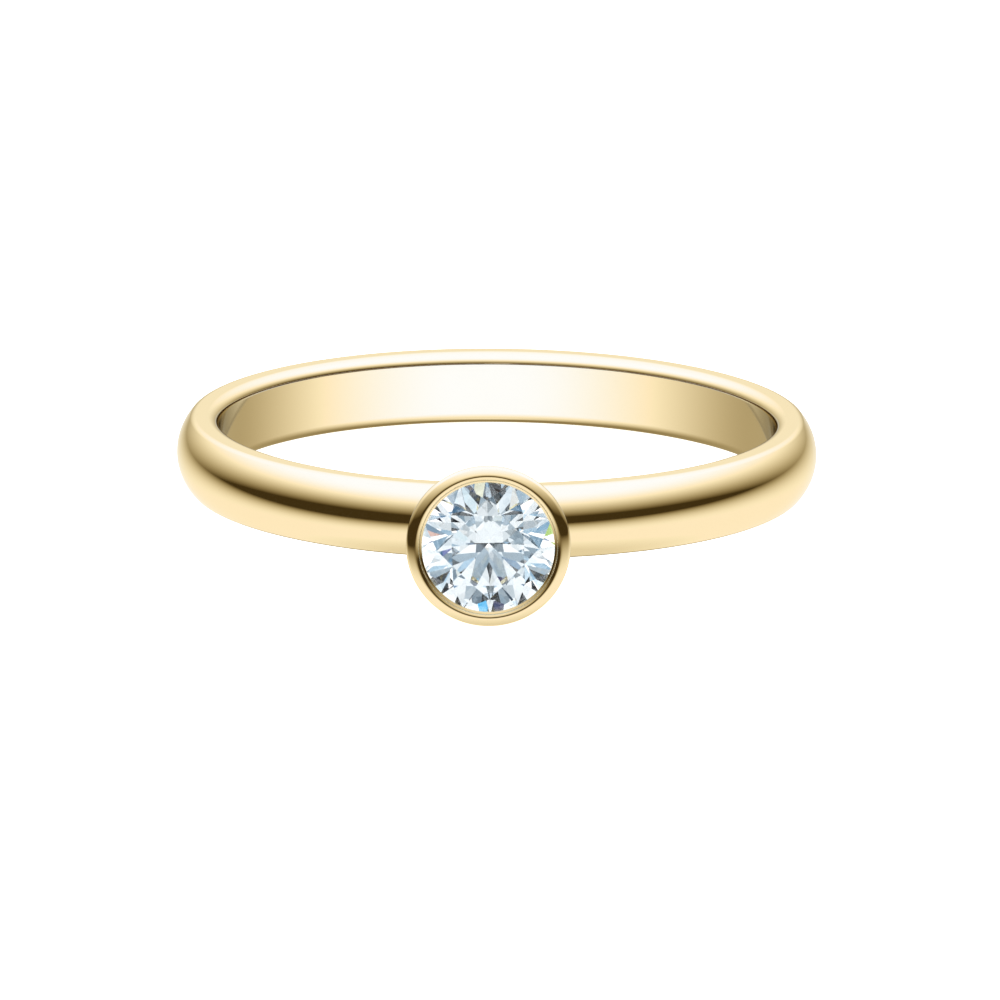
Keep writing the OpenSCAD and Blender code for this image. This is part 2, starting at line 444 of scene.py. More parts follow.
def piece_normal(piece, points):
    """The outward direction of one arc or line at points in (distance, height)."""
    kind, row, begin, end = piece
    if kind == "line":
        along = (end - begin) / np.linalg.norm(end - begin)
        return np.tile((along[1], -along[0]), (len(points), 1))
    offset = (points - np.array(row["centre"])) * np.sign(row["sweep"])
    return offset / np.maximum(np.linalg.norm(offset, axis=1), 1e-12)[:, None]


dome_top = np.array([[finger_r + band_t, 0.0]])
print("the dome's top faces", piece_normal(outline_pieces(band_outline)[0], dome_top)[0])

# %% [markdown]
# A face belongs to the arc or line that lies nearest to its middle. Each of its corners
# is measured as distance from the axis and height, the outward direction is read off
# that arc or line, turned back into the ring, and stored as a custom normal.

# %% True normals
def in_section(points, to_ring):
    """Points of the ring as (distance, height) about an axis, with their outward directions."""
    local = points @ np.array(to_ring.inverted().to_3x3()).T
    flat = local[:, :2]
    distance = np.linalg.norm(flat, axis=1)
    off_axis = distance[:, None] > 1e-9
    outward = np.divide(flat, distance[:, None], out=np.zeros_like(flat), where=off_axis)
    return np.column_stack((distance, local[:, 2])), outward


def set_true_normals(mesh, parts):
    """Gives face corners their true normals; returns each face's outline piece and the largest miss."""
    points = np.array([v.co for v in mesh.vertices])
    centres = np.array([f.center for f in mesh.polygons])
    choices = [(to_ring, piece) for to_ring, outline in parts for piece in outline_pieces(outline)]
    distances = [piece_distance(piece, in_section(centres, to_ring)[0]) for to_ring, piece in choices]
    nearest = np.argmin(distances, axis=0)
    corner_face = np.repeat(np.arange(len(mesh.polygons)), [f.loop_total for f in mesh.polygons])
    corner_point = np.array([loop.vertex_index for loop in mesh.loops])
    normals = np.zeros((len(mesh.loops), 3))
    for index, (to_ring, piece) in enumerate(choices):
        mine = nearest[corner_face] == index
        section, outward = in_section(points[corner_point[mine]], to_ring)
        flat = piece_normal(piece, section)
        local = np.column_stack((outward * flat[:, :1], flat[:, 1]))
        normals[mine] = local @ np.array(to_ring.to_3x3()).T
    mesh.polygons.foreach_set("use_smooth", [True] * len(mesh.polygons))
    mesh.normals_split_custom_set(normals.tolist())
    names = [piece[1]["name"] for _, piece in choices]
    return [names[index] for index in nearest], float(np.max(np.min(distances, axis=0)))


print("normals follow", len(outline_pieces(band_outline)), "pieces of the band's outline and",
      len(outline_pieces(bezel_outline)), "of the cup's")

# %% [markdown]
# Every mesh is closed and measured in the same way, because an open edge or a face that
# points inwards would show at once in polished metal or in a clear stone. The materials
# are made here by name only, since the trees set them on the faces, and are filled in
# further down, where each finish is described.

# %% Closing a mesh, and materials by name
def closed_up(mesh, flat=None):
    """Merges doubles and, within an angle, flat neighbours; says what was found."""
    work = bmesh.new()
    work.from_mesh(mesh)
    bmesh.ops.remove_doubles(work, verts=work.verts, dist=WELD)
    bmesh.ops.delete(work, geom=[e for e in work.edges if not e.link_faces], context="EDGES")
    if flat is not None:
        bmesh.ops.dissolve_limit(
            work, angle_limit=flat, verts=work.verts, edges=work.edges, delimit={"MATERIAL"})
    bmesh.ops.recalc_face_normals(work, faces=work.faces)
    open_edges = sum(not e.is_manifold for e in work.edges)
    volume = work.calc_volume()
    work.to_mesh(mesh)
    work.free()
    return open_edges, volume


def finished(mesh, name, node):
    """Puts a finished mesh in the scene as the piece that stands for a CAD node."""
    piece = in_scene(name, mesh)
    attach(piece, "root")
    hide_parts(node)


def empty_material(name):
    """A material with a Principled shader, to be filled in further down."""
    material = bpy.data.materials.new(name)
    material.use_nodes = True
    return material


gold = empty_material("yellow_gold_mirror_polished")
rhodium = empty_material("white_rhodium_plated_seat")
facet = empty_material("diamond_polished_facets")
girdle = empty_material("diamond_bruted_girdle")
print("materials:", [m.name for m in (gold, rhodium, facet, girdle)])

# %% [markdown]
# Band and cup are turned apart, closed and measured, and then joined as solder would
# join them. The exact solver keeps the seam of the Boolean clean. The faces inside the
# cup get a second material, because that part is plated. Last, the whole piece is laid
# down where the construction has it.

# %% Band and cup as one piece of metal
TURNS = 288
band_mesh = made_by(turning_tree("Band", band_outline), {
    **outline_values(band_outline), "Turns": TURNS, "Material": gold})
cup_mesh = made_by(turning_tree("Bezel cup", bezel_outline), {
    **outline_values(bezel_outline), "Turns": TURNS // 2, "Material": gold})
cup_mesh.transform(bezel_to_ring)
for label, mesh in (("band", band_mesh), ("cup", cup_mesh)):
    open_edges, volume = closed_up(mesh)
    print(f"{label}: {len(mesh.polygons)} faces, {open_edges} open edges, {volume / MM ** 3:.2f} mm3")

band_maker = in_scene("band_maker", band_mesh)
cup_maker = in_scene("cup_maker", cup_mesh)
soldering = band_maker.modifiers.new("solder", "BOOLEAN")
soldering.operation = "UNION"
soldering.solver = "EXACT"
soldering.object = cup_maker
ring_mesh = taken_from(band_maker)
bpy.data.objects.remove(cup_maker)
open_edges, volume = closed_up(ring_mesh)
pieces, off = set_true_normals(ring_mesh, [
    (Matrix.Identity(4), band_outline), (bezel_to_ring, bezel_outline)])
ring_mesh.materials.append(rhodium)
plated = [name in ("Pocket", "Seat", "Ledge", "Hollow") for name in pieces]
ring_mesh.polygons.foreach_set("material_index", [int(p) for p in plated])
ring_mesh.transform(ring_to_floor)
finished(ring_mesh, "gold_ring", "band_with_bezel")
print(f"ring: {len(ring_mesh.polygons)} faces, {open_edges} open edges, {volume / MM ** 3:.2f} mm3,"
      f" faces lie within {off / MM:.4f} mm of their outline, {sum(plated)} are plated")

# %% [markdown]
# A brilliant is cut on an eight-fold index wheel, so one eighth of the stone holds
# all there is to know: part of the table, a star, a kite, two upper halves, the
# girdle, two lower halves and a pavilion main. That eighth is written out from the
# angles and ratios a cutter uses, and a Geometry Nodes tree repeats it round the
# axis. The girdle is a true cylinder, and where each flat facet runs out over it the
# edge dips, which gives the scalloped girdle line of a real stone.

# %% One eighth of a brilliant
MAINS = 8
SECTOR = 2 * math.pi / MAINS
table_r = 0.56 * stone_r
star_ratio = 0.45
lower_ratio = 0.74
stone_turn = math.radians(2)
GIRDLE_STEPS = 8

table_z = girdle_top + (stone_r - table_r) * math.tan(crown_angle)
table_side = table_r * math.cos(SECTOR / 2)
star_r = table_side + star_ratio * (stone_r - table_side)
star_z = girdle_top + (stone_r - star_r * math.cos(SECTOR / 2)) * math.tan(crown_angle)
lower_r = (1 - lower_ratio) * stone_r
lower_z = girdle_bottom - (stone_r - lower_r * math.cos(SECTOR / 2)) * math.tan(pavilion_angle)


def on_wheel(radius, index, height):
    """A point at an angle counted in eighths of a turn, where a kite lies at 0."""
    angle = index * SECTOR
    return Vector((radius * math.cos(angle), radius * math.sin(angle), height))


def scallop(tip, first, last, index):
    """Points where a half facet through three corners runs out over the girdle."""
    normal = (first - tip).cross(last - tip)
    points = []
    for step in range(GIRDLE_STEPS + 1):
        rim = on_wheel(stone_r, index + step / GIRDLE_STEPS / 2, 0)
        rim.z = tip.z - (normal.x * (rim.x - tip.x) + normal.y * (rim.y - tip.y)) / normal.z
        points.append(rim)
    return points


def stone_eighth():
    """The facets between the axes of one kite and the next, as corner lists."""
    middle = Vector((0, 0, table_z))
    culet = Vector((0, 0, culet_z))
    table = [on_wheel(table_r, k, table_z) for k in (0, 1)]
    star = on_wheel(star_r, 0.5, star_z)
    lower = on_wheel(lower_r, 0.5, lower_z)
    top = [on_wheel(stone_r, k / 2, girdle_top) for k in (0, 1, 2)]
    bottom = [on_wheel(stone_r, k / 2, girdle_bottom) for k in (0, 1, 2)]
    polished = [
        [middle, table[0], table[1]],
        [star, table[1], table[0]],
        [table[0], top[0], star],
        [table[1], star, top[2]],
        [culet, lower, bottom[0]],
        [culet, bottom[2], lower],
    ]
    bruted = []
    for k in (0, 1):
        over = scallop(star, top[k], top[k + 1], k / 2)
        under = scallop(lower, bottom[k], bottom[k + 1], k / 2)
        polished.append([star] + over)
        polished.append([lower] + under[::-1])
        bruted += [[under[i], under[i + 1], over[i + 1], over[i]] for i in range(GIRDLE_STEPS)]
    return polished, bruted


work = bmesh.new()
is_bruted = work.faces.layers.bool.new("bruted")
for group, facets in enumerate(stone_eighth()):
    for corners in facets:
        face = work.faces.new([work.verts.new(p) for p in corners])
        face[is_bruted] = bool(group)
eighth = bpy.data.meshes.new("stone_eighth")
eighth.materials.append(facet)
work.to_mesh(eighth)
work.free()
print(f"one eighth: {len(eighth.polygons)} faces, table at {(table_z - finger_r) / MM:.2f} mm"
      f" and culet at {(culet_z - finger_r) / MM:.2f} mm above the finger")

# %% [markdown]
# Instance on Points sets one copy of the eighth on each of eight points, all at the
# axis, and turns each copy by its own number. An Array modifier could repeat it too, but
# would need a helper object to turn about. The copies are merged, and flat neighbours
# are dissolved into whole facets.

# %% Tree that repeats the eighth round the axis
FLAT = math.radians(0.05)
wheel = bpy.data.node_groups.new("Index wheel", "GeometryNodeTree")
wheel.interface.new_socket("Geometry", in_out="OUTPUT", socket_type="NodeSocketGeometry")
eighth_in = group_input(wheel, "Geometry", "NodeSocketGeometry")
count_in = group_input(wheel, "Count", "NodeSocketInt")
points = add(wheel, "GeometryNodePoints", {"Count": count_in})
one_turn = add(wheel, "ShaderNodeMath", {0: 2 * math.pi, 1: count_in}, operation="DIVIDE")
index = add(wheel, "GeometryNodeInputIndex")
angle = add(wheel, "ShaderNodeMath", {
    0: index.outputs[0], 1: one_turn.outputs[0]}, operation="MULTIPLY")
euler = add(wheel, "ShaderNodeCombineXYZ", {"Z": angle.outputs[0]})
turned = add(wheel, "FunctionNodeEulerToRotation", {0: euler.outputs[0]})
copies = add(wheel, "GeometryNodeInstanceOnPoints", {
    "Points": points.outputs[0], "Instance": eighth_in, "Rotation": turned.outputs[0]})
real = add(wheel, "GeometryNodeRealizeInstances", {"Geometry": copies.outputs[0]})
whole = add(wheel, "GeometryNodeMergeByDistance", {"Geometry": real.outputs[0], "Distance": WELD})
polished = add(wheel, "GeometryNodeSetMaterial", {
    "Geometry": whole.outputs[0], "Material": group_input(wheel, "Facet", "NodeSocketMaterial")})
marked = add(wheel, "GeometryNodeInputNamedAttribute", {"Name": "bruted"}, data_type="BOOLEAN")
bruted = add(wheel, "GeometryNodeSetMaterial", {
    "Geometry": polished.outputs[0], "Selection": marked.outputs["Attribute"],
    "Material": group_input(wheel, "Girdle", "NodeSocketMaterial")})
add(wheel, "NodeGroupOutput", {"Geometry": bruted.outputs[0]})

stone_mesh = made_by(wheel, {"Count": MAINS, "Facet": facet, "Girdle": girdle}, eighth)
stone_mesh.transform(Matrix.Rotation(SECTOR / 2 + stone_turn, 4, "Z"))
stone_mesh.transform(ring_to_floor @ bezel_to_ring)
open_edges, volume = closed_up(stone_mesh, FLAT)
facet_count = sum(f.material_index == 0 for f in stone_mesh.polygons)
print(f"stone: {facet_count} polished facets, {open_edges} open edges, {volume / MM ** 3:.2f} mm3")
finished(stone_mesh, "round_brilliant", "brilliant_stone")

# %% [markdown]
# The metal is 14 carat yellow gold, cast, turned and buffed with rouge on a cotton
# wheel. Buffing leaves a mirror with three faint traces: lines that follow the wheel
# round the band, a slight waviness where the hand leaned in, and a duller wall inside,
# where a felt stick and not a wheel did the work. Metal has no colour of its own below
# the surface, so the gold tone is the base colour of the reflection. The edge tint keeps
# that tone in grazing reflections, which would otherwise turn white.

# %% Gold
GOLD_COLOUR = "#FCE8BA"
GOLD_DEEPER = "#FBE6B6"
GOLD_EDGE = "#FEFAEC"
BUFFING_LINE = 0.06 * MM   # real lines are about 0.01 mm apart, too fine for the picture
LINE_STRETCH = 1.5 * MM   # less than the ring's radius, which draws the pattern out into lines
WAVE = 2.5 * MM
LINE_DEPTH = 0.00002 * MM
WAVE_DEPTH = 0.0012 * MM
MIRROR_ROUGHNESS = (0.035, 0.065)
INNER_ROUGHNESS = (0.05, 0.09)
FELT_EDGE = (0.12 * MM, 0.02 * MM)   # off the inner wall, where felt polish starts and is complete
NOISE_RANGE = (0.3, 0.7)   # most values of a noise pattern lie between these


def fill(material, **values):
    """Sets a Principled shader's own sockets, written with underscores for spaces."""
    shader = material.node_tree.nodes["Principled BSDF"]
    for name, value in values.items():
        shader.inputs[name.replace("_", " ")].default_value = value
    return material.node_tree, shader


def ring_space(tree):
    """Object coordinates turned into the ring's own axes."""
    place = add(tree, "ShaderNodeTexCoord")
    upright = ring_to_floor.inverted()
    return add(tree, "ShaderNodeMapping", {
        "Vector": place.outputs["Object"], "Location": tuple(upright.translation),
        "Rotation": tuple(upright.to_euler())})


def spread(value, start, end, low=0.0, high=1.0):
    """Inputs of a Map Range node that turns start into low and end into high."""
    return {"Value": value, "From Min": start, "From Max": end, "To Min": low, "To Max": high}


tree, shader = fill(gold, Metallic=1.0, Specular_Tint=linear(GOLD_EDGE))
in_ring = ring_space(tree)
parts = add(tree, "ShaderNodeSeparateXYZ", {0: in_ring})
flat = add(tree, "ShaderNodeCombineXYZ", {"X": parts.outputs["X"], "Y": parts.outputs["Y"]})
radius = add(tree, "ShaderNodeVectorMath", {0: flat}, operation="LENGTH")
angle = add(tree, "ShaderNodeMath", {0: parts.outputs["Y"], 1: parts.outputs["X"]}, operation="ARCTAN2")
along = add(tree, "ShaderNodeMath", {0: angle, 1: LINE_STRETCH}, operation="MULTIPLY")
wheel_lines = add(tree, "ShaderNodeCombineXYZ", {
    "X": along, "Y": radius.outputs["Value"], "Z": parts.outputs["Z"]})
lines = add(tree, "ShaderNodeTexNoise", {
    "Vector": wheel_lines, "Scale": 1 / BUFFING_LINE, "Detail": 2.0})
waves = add(tree, "ShaderNodeTexNoise", {"Vector": in_ring, "Scale": 1 / WAVE, "Detail": 1.0})
lined = add(tree, "ShaderNodeBump", {"Height": lines.outputs[0], "Distance": LINE_DEPTH})
waved = add(tree, "ShaderNodeBump", {
    "Height": waves.outputs[0], "Distance": WAVE_DEPTH, "Normal": lined})
tree.links.new(waved.outputs[0], shader.inputs["Normal"])
tone = add(tree, "ShaderNodeMix", {
    "Factor": waves.outputs[0], "A": linear(GOLD_COLOUR), "B": linear(GOLD_DEEPER)}, data_type="RGBA")
tree.links.new(shown(tone.outputs, "Result"), shader.inputs["Base Color"])
buffed = add(tree, "ShaderNodeMapRange", spread(lines.outputs[0], *NOISE_RANGE, *MIRROR_ROUGHNESS))
stick = add(tree, "ShaderNodeMapRange", spread(lines.outputs[0], *NOISE_RANGE, *INNER_ROUGHNESS))
felt_edge = [finger_r + height for height in FELT_EDGE]
inside = add(tree, "ShaderNodeMapRange", spread(radius.outputs["Value"], *felt_edge))
dullness = add(tree, "ShaderNodeMix", {"Factor": inside, "A": buffed, "B": stick})
tree.links.new(dullness.outputs[0], shader.inputs["Roughness"])
print(f"gold: buffing lines {BUFFING_LINE / MM} mm apart, waves {WAVE / MM} mm long")

# %% [markdown]
# Gold behind a white stone would stain it yellow, so the inside of such a cup is often
# plated with rhodium, a hard, white relative of platinum. Plating copies the surface
# under it, here a drilled and brushed seat, so its gloss comes in soft patches. A real
# cup is often drilled through, and light comes in from behind the stone. This one is
# closed, so a weak cool glow of its wall stands for that light.

# %% Rhodium inside the cup
SEAT_BRUSHING = 0.12 * MM   # a real brush leaves finer marks, too fine for the picture
SEAT_ROUGHNESS = (0.1, 0.3)
BACK_LIGHT = 0.25
tree, shader = fill(rhodium, Metallic=1.0, Base_Color=linear("#F4F6F8"),
                    Emission_Color=linear("#E4EEF8"), Emission_Strength=BACK_LIGHT)
seat_space = ring_space(tree)
brushed = add(tree, "ShaderNodeTexNoise", {
    "Vector": seat_space, "Scale": 1 / SEAT_BRUSHING, "Detail": 3.0})
gloss = add(tree, "ShaderNodeMapRange", spread(brushed.outputs[0], 0.0, 1.0, *SEAT_ROUGHNESS))
tree.links.new(gloss.outputs[0], shader.inputs["Roughness"])
print(f"rhodium: brushing {SEAT_BRUSHING / MM} mm wide")

# %% [markdown]
# Diamond bends light more than any other clear gem, and its facets are ground and
# polished on a cast iron wheel to a perfect mirror. So the shader is clear, without
# roughness, with the index of diamond. Under a loupe the facets carry a trace of the
# wheel and are not flat to the last micron; bump at that scale gives each patch of
# light its soft run. A trace of cold tint stands for the cool light of the studio. The
# girdle is not polished: it was ground round against another diamond, which jewellers
# call bruting, and looks like frosted glass.

# %% Diamond
DIAMOND_IOR = 2.417
FACET_WAVE = 0.6 * MM
FACET_DEPTH = 0.0011 * MM
BRUTING_GRIT = 0.03 * MM
BRUTING_DEPTH = 0.1 * BRUTING_GRIT
BRUTED_ROUGHNESS = (0.25, 0.55)
tree, shader = fill(facet, Transmission_Weight=1.0, IOR=DIAMOND_IOR, Roughness=0.0)
place = add(tree, "ShaderNodeTexCoord")
clouds = add(tree, "ShaderNodeTexNoise", {
    "Vector": place.outputs["Object"], "Scale": 1 / FACET_WAVE, "Detail": 2.0})
tint = add(tree, "ShaderNodeMix", {
    "Factor": clouds.outputs[0], "A": linear("#F4FCFF"), "B": linear("#FBFFFF")}, data_type="RGBA")
tree.links.new(shown(tint.outputs, "Result"), shader.inputs["Base Color"])
rolled = add(tree, "ShaderNodeBump", {"Height": clouds.outputs[0], "Distance": FACET_DEPTH})
tree.links.new(rolled.outputs[0], shader.inputs["Normal"])

tree, shader = fill(girdle, Transmission_Weight=1.0, IOR=DIAMOND_IOR, Base_Color=linear("#F6FAFC"))
place = add(tree, "ShaderNodeTexCoord")
grit = add(tree, "ShaderNodeTexNoise", {
    "Vector": place.outputs["Object"], "Scale": 1 / BRUTING_GRIT, "Detail": 3.0})
frost = add(tree, "ShaderNodeMapRange", spread(grit.outputs[0], 0.0, 1.0, *BRUTED_ROUGHNESS))
tree.links.new(frost.outputs[0], shader.inputs["Roughness"])
ground = add(tree, "ShaderNodeBump", {"Height": grit.outputs[0], "Distance": BRUTING_DEPTH})
tree.links.new(ground.outputs[0], shader.inputs["Normal"])
print(f"diamond: index {DIAMOND_IOR}, facet waves {FACET_WAVE / MM} mm, grit {BRUTING_GRIT / MM} mm")

# %% [markdown]
# The photograph has no shadow and no horizon: the ring lies on a white sheet over a
# light table. A floor that glows a little under the studio light does the same.
# Mirror rays pass through that sheet to the tent below, so polished metal shows one
# even surrounding. A clear disc lies right under the finger hole. It is invisible, but
# Cycles counts the clear surfaces that a ray went through, so the tent can tell light
# that comes up through the finger hole from light that comes up beside the ring.

# %% Floor
FLOOR_HALF = 3.0
SHEET_ROUGHNESS = 0.9
SHEET_GLOW = 0.9
HOLE_EDGE = finger_r + 0.4 * band_t
DISC_DEPTH = 0.05 * MM


def staged(name, mesh, material):
    """Puts a piece of the studio in the scene, which is not part of the ring."""
    mesh.materials.append(material)
    in_scene(name, mesh)


sheet = empty_material("white_sheet_on_light_table")
tree, shader = fill(sheet, Base_Color=linear("#F7F7F7"), Roughness=SHEET_ROUGHNESS,
                    Emission_Color=linear("#FFFFFF"), Emission_Strength=SHEET_GLOW)
clear = add(tree, "ShaderNodeBsdfTransparent")
ray = add(tree, "ShaderNodeLightPath")
mixed = add(tree, "ShaderNodeMixShader", {
    0: ray.outputs["Is Glossy Ray"], 1: shader.outputs[0], 2: clear})
through = add(tree, "ShaderNodeMixShader", {0: ray.outputs["Is Singular Ray"], 1: mixed, 2: clear})
tree.links.new(through.outputs[0], tree.nodes["Material Output"].inputs["Surface"])

window = empty_material("clear_disc")
tree = window.node_tree
clear = add(tree, "ShaderNodeBsdfTransparent")
tree.links.new(clear.outputs[0], tree.nodes["Material Output"].inputs["Surface"])

floor_mesh = bpy.data.meshes.new("floor")
disc_mesh = bpy.data.meshes.new("disc")
work = bmesh.new()
bmesh.ops.create_grid(work, x_segments=1, y_segments=1, size=FLOOR_HALF)
work.to_mesh(floor_mesh)
work.clear()
bmesh.ops.create_circle(work, cap_ends=True, segments=96, radius=HOLE_EDGE)
bmesh.ops.translate(work, verts=work.verts, vec=(0, ring_to_floor.translation.y, -DISC_DEPTH))
work.to_mesh(disc_mesh)
work.free()
staged("floor", floor_mesh, sheet)
staged("clear_disc", disc_mesh, window)
print(f"floor {2 * FLOOR_HALF:.0f} m wide, clear disc out to {HOLE_EDGE / MM:.2f} mm")

# %% [markdown]
# Jewellery is photographed inside a tent of white cloth, and what polished gold shows
# is that tent. Its roof is bright and fades towards the sides, the white table lights
# it from below, and between the two runs a thin dark gap, widest in front where the
# camera looks in. The level is worked out from the direction alone: its elevation
# above the plane of the ring, how far it points to the front and how far to the right.
# The Standard view transform shows these levels as they are. Rays may bounce more often
# than usual, because light turns round many times in a brilliant before it comes out.

# %% Directions in the light tent
TENT_ROLL = math.radians(1.7)
bpy.context.scene.view_settings.view_transform = "Standard"
bpy.context.scene.cycles.glossy_bounces = 12
bpy.context.scene.cycles.max_bounces = 20
world = bpy.data.worlds.new("light_tent")
bpy.context.scene.world = world
world.use_nodes = True
tree = world.node_tree
tree.nodes.clear()
where = add(tree, "ShaderNodeTexCoord")


def tent_view(roll, pitch):
    """A direction turned into the tent's own axes, as elevation, to the front and to the right."""
    tent = (ring_to_floor.to_3x3().to_4x4() @ Matrix.Rotation(-roll, 4, "Y")
            @ Matrix.Rotation(pitch, 4, "X")).inverted()
    in_tent = add(tree, "ShaderNodeMapping", {
        "Vector": where.outputs["Generated"], "Rotation": tuple(tent.to_euler())})
    parts = add(tree, "ShaderNodeSeparateXYZ", {0: in_tent})
    radians = add(tree, "ShaderNodeMath", {0: parts.outputs["Z"]}, operation="ARCSINE")
    elevation = add(tree, "ShaderNodeMath", {0: radians}, operation="DEGREES")
    front = add(tree, "ShaderNodeMath", {0: parts.outputs["Y"], 1: -1.0}, operation="MULTIPLY")
    return elevation, front, parts.outputs["X"]


elevation, front, right = tent_view(TENT_ROLL, 0)
print(f"tent rolled by {math.degrees(TENT_ROLL):.1f} degrees, {len(tree.nodes)} nodes so far")

# %% [markdown]
# Two borders give where the gap ends above and below. Each is a height in degrees that
# curves towards the front and slants to the right. Above the upper one the roof grows
# brighter until it reaches its full level, which is a little lower behind the ring.
# Below the lower one the table does the same. Light that arrives from straight below is
# weaker, because the ring shades its own table.

# %% Roof, gap and table
GAP_LEVEL = 0.05
ROOF_LEVEL = 1.56
ROOF_PER_DEGREE = 0.037
ROOF_SOFTNESS = 0.5
ROOF_REAR_LEVEL = 1.4
ROOF_REAR = (-1.0, -0.2)   # how far a direction points to the front, below zero behind
ROOF_BORDER = dict(middle=2.7, to_front=7.6, bend=-7.15, to_right=0.0, both=0.69)
TABLE_LEVEL = 1.03
TABLE_FADE = 26.6
TABLE_SHADE = 0.78
SHADE_DEGREES = (-71.0, -51.0)
TABLE_BORDER = dict(middle=4.5, to_front=9.76, bend=-2.8, to_right=-2.2, both=-2.16)


def border(front, right, middle, to_front, bend, to_right, both):
    """A border's elevation in degrees: a curve towards the front plus a slant to the right."""
    curve = add(tree, "ShaderNodeMath", {0: front, 1: bend, 2: to_front}, operation="MULTIPLY_ADD")
    rise = add(tree, "ShaderNodeMath", {0: front, 1: curve, 2: middle}, operation="MULTIPLY_ADD")
    slant = add(tree, "ShaderNodeMath", {0: front, 1: both, 2: to_right}, operation="MULTIPLY_ADD")
    return add(tree, "ShaderNodeMath", {0: right, 1: slant, 2: rise}, operation="MULTIPLY_ADD")


roof_border = border(front, right, **ROOF_BORDER)
above = add(tree, "ShaderNodeMath", {0: elevation, 1: roof_border}, operation="SUBTRACT")
rising = add(tree, "ShaderNodeMath", {
    0: above, 1: ROOF_PER_DEGREE, 2: GAP_LEVEL}, operation="MULTIPLY_ADD")
ceiling = add(tree, "ShaderNodeMapRange", spread(front, *ROOF_REAR, ROOF_REAR_LEVEL, ROOF_LEVEL))
roof = add(tree, "ShaderNodeMath", {0: rising, 1: ceiling, 2: ROOF_SOFTNESS}, operation="SMOOTH_MIN")

table_border = border(front, right, **TABLE_BORDER)
lowered = add(tree, "ShaderNodeMath", {0: elevation, 1: table_border}, operation="ADD")
short = add(tree, "ShaderNodeMapRange", spread(lowered, -TABLE_FADE, 0.0))
squared = add(tree, "ShaderNodeMath", {0: short, 1: 2.0}, operation="POWER")
lit = add(tree, "ShaderNodeMath", {
    0: squared, 1: GAP_LEVEL - TABLE_LEVEL, 2: TABLE_LEVEL}, operation="MULTIPLY_ADD")
shade = add(tree, "ShaderNodeMapRange", spread(elevation, *SHADE_DEGREES, TABLE_SHADE, 1.0))
table = add(tree, "ShaderNodeMath", {0: lit, 1: shade}, operation="MULTIPLY")
brighter = add(tree, "ShaderNodeMath", {0: roof, 1: table}, operation="MAXIMUM")
around_level = add(tree, "ShaderNodeMath", {0: brighter, 1: GAP_LEVEL}, operation="MAXIMUM")
print(f"roof {ROOF_LEVEL}, gap {GAP_LEVEL}, table {TABLE_LEVEL}")

# %% [markdown]
# The wall inside the ring shows the table through the finger hole. It is brightest
# towards the front, where the photograph has its wide cream patch, and dims evenly
# to both sides and downwards. The sheet counts as one clear surface on the ray's way,
# and the disc under the hole as a second.

# %% Level in the finger hole
HOLE_FRONT = 1.57
HOLE_BACK = 0.46
HOLE_RIGHT = 6.0
HOLE_DEGREES = (136.0, 10.0)
HOLE_DEPTH_LEVEL = 0.6
HOLE_DEPTH_DEGREES = (-60.0, -16.0)
MORE_THAN_SHEET = 1.5
SOFT = dict(interpolation_type="SMOOTHSTEP")


def compass(front, right):
    """How far a direction is turned from the front, in degrees, to the right above zero."""
    turned = add(tree, "ShaderNodeMath", {0: right, 1: front}, operation="ARCTAN2")
    return add(tree, "ShaderNodeMath", {0: turned}, operation="DEGREES")


from_middle = add(tree, "ShaderNodeMath", {
    0: compass(front, right), 1: HOLE_RIGHT}, operation="SUBTRACT")
from_front = add(tree, "ShaderNodeMath", {0: from_middle}, operation="ABSOLUTE")
towards_front = add(tree, "ShaderNodeMapRange", spread(from_front, *HOLE_DEGREES), **SOFT)
hole_side = add(tree, "ShaderNodeMix", {"Factor": towards_front, "A": HOLE_BACK, "B": HOLE_FRONT})
deeper = add(tree, "ShaderNodeMapRange", spread(
    elevation, *HOLE_DEPTH_DEGREES, HOLE_DEPTH_LEVEL, 1.0))
hole_level = add(tree, "ShaderNodeMath", {0: hole_side, 1: deeper}, operation="MULTIPLY")
ray = add(tree, "ShaderNodeLightPath")
in_hole = add(tree, "ShaderNodeMath", {
    0: ray.outputs["Transparent Depth"], 1: MORE_THAN_SHEET}, operation="GREATER_THAN")
level = add(tree, "ShaderNodeMix", {"Factor": in_hole, "A": around_level, "B": hole_level})
print(f"finger hole from {HOLE_BACK} behind to {HOLE_FRONT} in front")

# %% [markdown]
# A brilliant turns back most of the light that falls in, so its facets show what stands
# round the camera. A photographer sets that for the stone alone, and so the stone sees
# levels of its own and not those of the metal: a white roof that sags at the sides, a
# white sheet, a card over the lens, and black cloth left and right of it, which gives
# the dark patches. Each pair of degrees says where a border starts and where it is
# complete.

# %% Levels that the stone sees
CLOTH_LEVEL = 0.0
LENS_LEVEL = 0.45
REAR_LEVEL = 0.88
CARD_LEVEL = 0.92
SHEET_IN_STONE = 1.12
ROOF_IN_STONE = 1.6
CLOTH_ASIDE = (8.9, 23.6)
REAR_ASIDE = (70.0, 110.0)
CARD_BOTTOM = (9.0, 15.0)
CARD_TOP = (31.0, 26.0)
CARD_RIGHT = (24.0, 12.0)
CARD_LEFT = (-26.0, -18.0)
SHEET_EDGE = (5.4, -15.6)
SAG = 12.0
SAG_ASIDE = (18.0, 42.0)
ROOF_EDGE = (38.6, 57.0)


